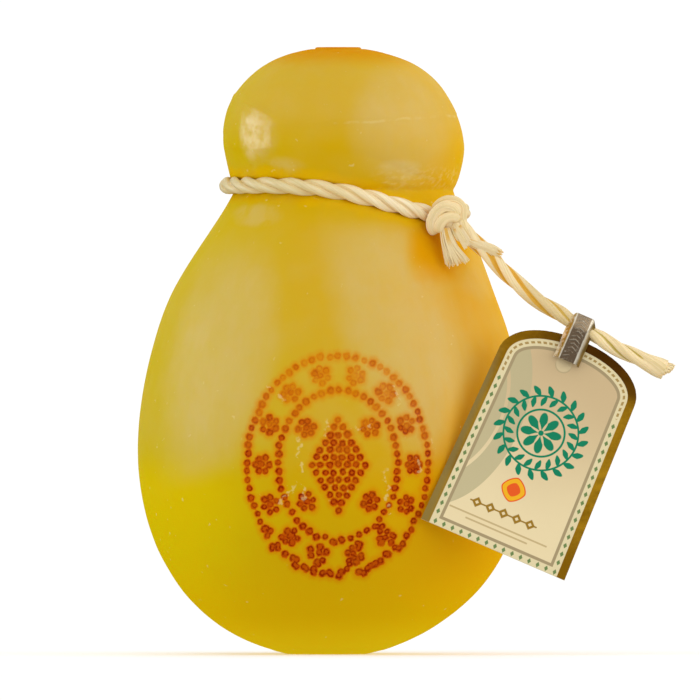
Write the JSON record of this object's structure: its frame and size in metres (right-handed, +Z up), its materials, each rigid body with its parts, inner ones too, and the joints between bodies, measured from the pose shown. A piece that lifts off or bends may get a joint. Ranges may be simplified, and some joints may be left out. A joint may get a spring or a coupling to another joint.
{
  "type": "caciocavallo cheese",
  "caption": "Pear-shaped stretched-curd cheese with a round head, tied at the neck with a twisted cord; a folded metal clip holds an arched hang tag on the cord's free end.",
  "frame": {"origin": "on the flat spot under the belly, on which the cheese stands", "axes": "+Z up through the head, -Y towards the front, which shows the tag, +X to the right seen from the front"},
  "size_m": [0.1925, 0.1372, 0.2207],
  "materials": {
    "rind": "waxy",
    "twine": "twisted paper straw",
    "card": "coated card with a foil border",
    "tinplate": "worn tinplate"
  },
  "bodies": {
    "root": {"cheese": "rind", "neck_cord": "twine", "knot": "twine", "cord_tail": "twine", "tag": "card", "clip": "tinplate"}
  },
  "joints": []
}
